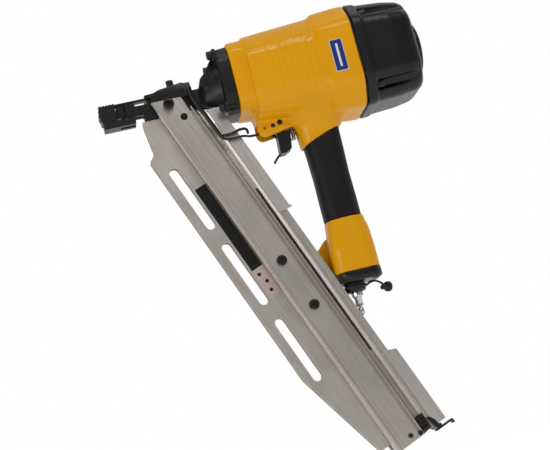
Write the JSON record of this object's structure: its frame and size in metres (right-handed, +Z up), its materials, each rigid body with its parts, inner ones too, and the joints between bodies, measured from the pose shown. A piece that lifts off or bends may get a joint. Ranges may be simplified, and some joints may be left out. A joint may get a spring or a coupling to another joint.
{
  "type": "pneumatic nail gun",
  "caption": "Air-driven framing nailer with a painted barrel and grip, black head cap and nose, a long slotted angled magazine, and a sprung trigger and safety nose.",
  "frame": {"origin": "centre of the grip, where the hand closes round it", "axes": "+X along the drive axis from the nose to the head cap, +Z up along the grip towards the barrel, +Y to the tool's right"},
  "size_m": [0.356, 0.106, 0.4758],
  "materials": {
    "yellow_paint": "gloss powder coat on a magnesium casting",
    "cap_plastic": "satin moulded",
    "black_casting": "black coated casting",
    "black_steel": "black oxide steel",
    "rubber": "moulded",
    "grip_rubber": "fine matt texture",
    "aluminium": "extruded and brushed",
    "plate_aluminium": "satin rolled sheet",
    "steel": "ground",
    "chrome": "plated"
  },
  "bodies": {
    "tool": {"housing": "yellow_paint", "head_cap": "cap_plastic", "cap_gasket": "rubber", "deflector_screw": "black_steel", "cylinder": "aluminium", "head_valve_spring": "steel", "bumper": "rubber", "nose_casting": "black_casting", "trigger_pin": "black_steel", "selector_pin": "black_steel", "valve_bushing": "steel", "valve_spring": "steel", "grip_sleeve": "grip_rubber", "end_cap": "cap_plastic", "inlet_bushing": "cap_plastic", "dust_plug": "rubber", "air_plug": "chrome", "rail_left": "aluminium", "rail_right": "aluminium", "slotted_plate_left": "plate_aluminium", "slotted_plate_right": "plate_aluminium", "guide_plate": "plate_aluminium", "rear_guide_plate": "plate_aluminium", "end_bracket": "black_steel", "nose_latch_knob": "black_steel", "rail_socket_screw": "steel", "cap_bolt_1": "black_steel", "nose_bolt_1": "black_steel", "cap_bolt_2": "black_steel", "nose_bolt_2": "black_steel", "cap_bolt_3": "black_steel", "nose_bolt_3": "black_steel", "cap_bolt_4": "black_steel", "nose_bolt_4": "black_steel", "end_cap_screw_1": "black_steel", "magazine_bolt_1": "black_steel", "lug_bolt_1": "black_steel", "rail_rivet_1": "steel", "end_cap_screw_2": "black_steel", "magazine_bolt_2": "black_steel", "lug_bolt_2": "black_steel", "rail_rivet_2": "steel"},
    "deflector": {"exhaust_deflector": "cap_plastic"},
    "head_valve": {"head_valve": "cap_plastic"},
    "drive": {"piston": "aluminium", "piston_ring": "rubber", "driver_blade": "steel"},
    "contact": {"contact_tip": "black_steel", "contact_arm": "black_steel", "clamp_screw": "black_steel", "safety_rod": "black_steel"},
    "trigger": {"trigger": "cap_plastic"},
    "trip_lever": {"trip_lever": "steel"},
    "valve_stem": {"valve_stem": "steel"},
    "pusher": {"pusher": "steel", "pusher_grip": "cap_plastic"},
    "release_lever": {"release_lever": "black_steel"}
  },
  "joints": [
    {"name": "deflector_turn", "type": "hinge", "parent": "tool", "child": "deflector", "pos_m": [0.1245, 0, 0.118], "axis": [1, 0, 0], "continuous": true},
    {"name": "head_valve_slide", "type": "slide", "parent": "tool", "child": "head_valve", "axis": [1, 0, 0], "range_m": [0, 0.005], "stiffness_N_per_m": 800, "springref_m": -0.01, "deforming": ["head_valve_spring"]},
    {"name": "drive_stroke", "type": "slide", "parent": "tool", "child": "drive", "axis": [-1, 0, 0], "range_m": [0, 0.107]},
    {"name": "contact_press", "type": "slide", "parent": "tool", "child": "contact", "axis": [1, 0, 0], "range_m": [0, 0.006], "stiffness_N_per_m": 600, "springref_m": -0.015},
    {"name": "trigger_pull", "type": "hinge", "parent": "tool", "child": "trigger", "pos_m": [-0.0495, 0, 0.065], "axis": [0, -1, 0], "range_deg": [0, 10], "stiffness_Nm_per_rad": 0.25, "springref_deg": -11.46},
    {"name": "trip_lever_tilt", "type": "hinge", "parent": "trigger", "child": "trip_lever", "pos_m": [-0.0415, 0, 0.0488], "axis": [0, 1, 0], "range_deg": [0, 5], "stiffness_Nm_per_rad": 0.004, "springref_deg": -14.32},
    {"name": "valve_lift", "type": "slide", "parent": "tool", "child": "valve_stem", "axis": [0, 0, 1], "range_m": [0, 0.0036], "deforming": ["valve_spring"]},
    {"name": "pusher_slide", "type": "slide", "parent": "tool", "child": "pusher", "axis": [-0.3584, 0, 0.9336], "range_m": [0, 0.29]},
    {"name": "release_tilt", "type": "hinge", "parent": "tool", "child": "release_lever", "pos_m": [0.0383, 0, -0.28739], "axis": [0, 1, 0], "range_deg": [0, 12], "stiffness_Nm_per_rad": 0.2, "springref_deg": -11.46}
  ],
  "couplings": [
    {"joint": "valve_lift", "follows": "trigger_pull", "m_per_rad": 0.02006}
  ]
}
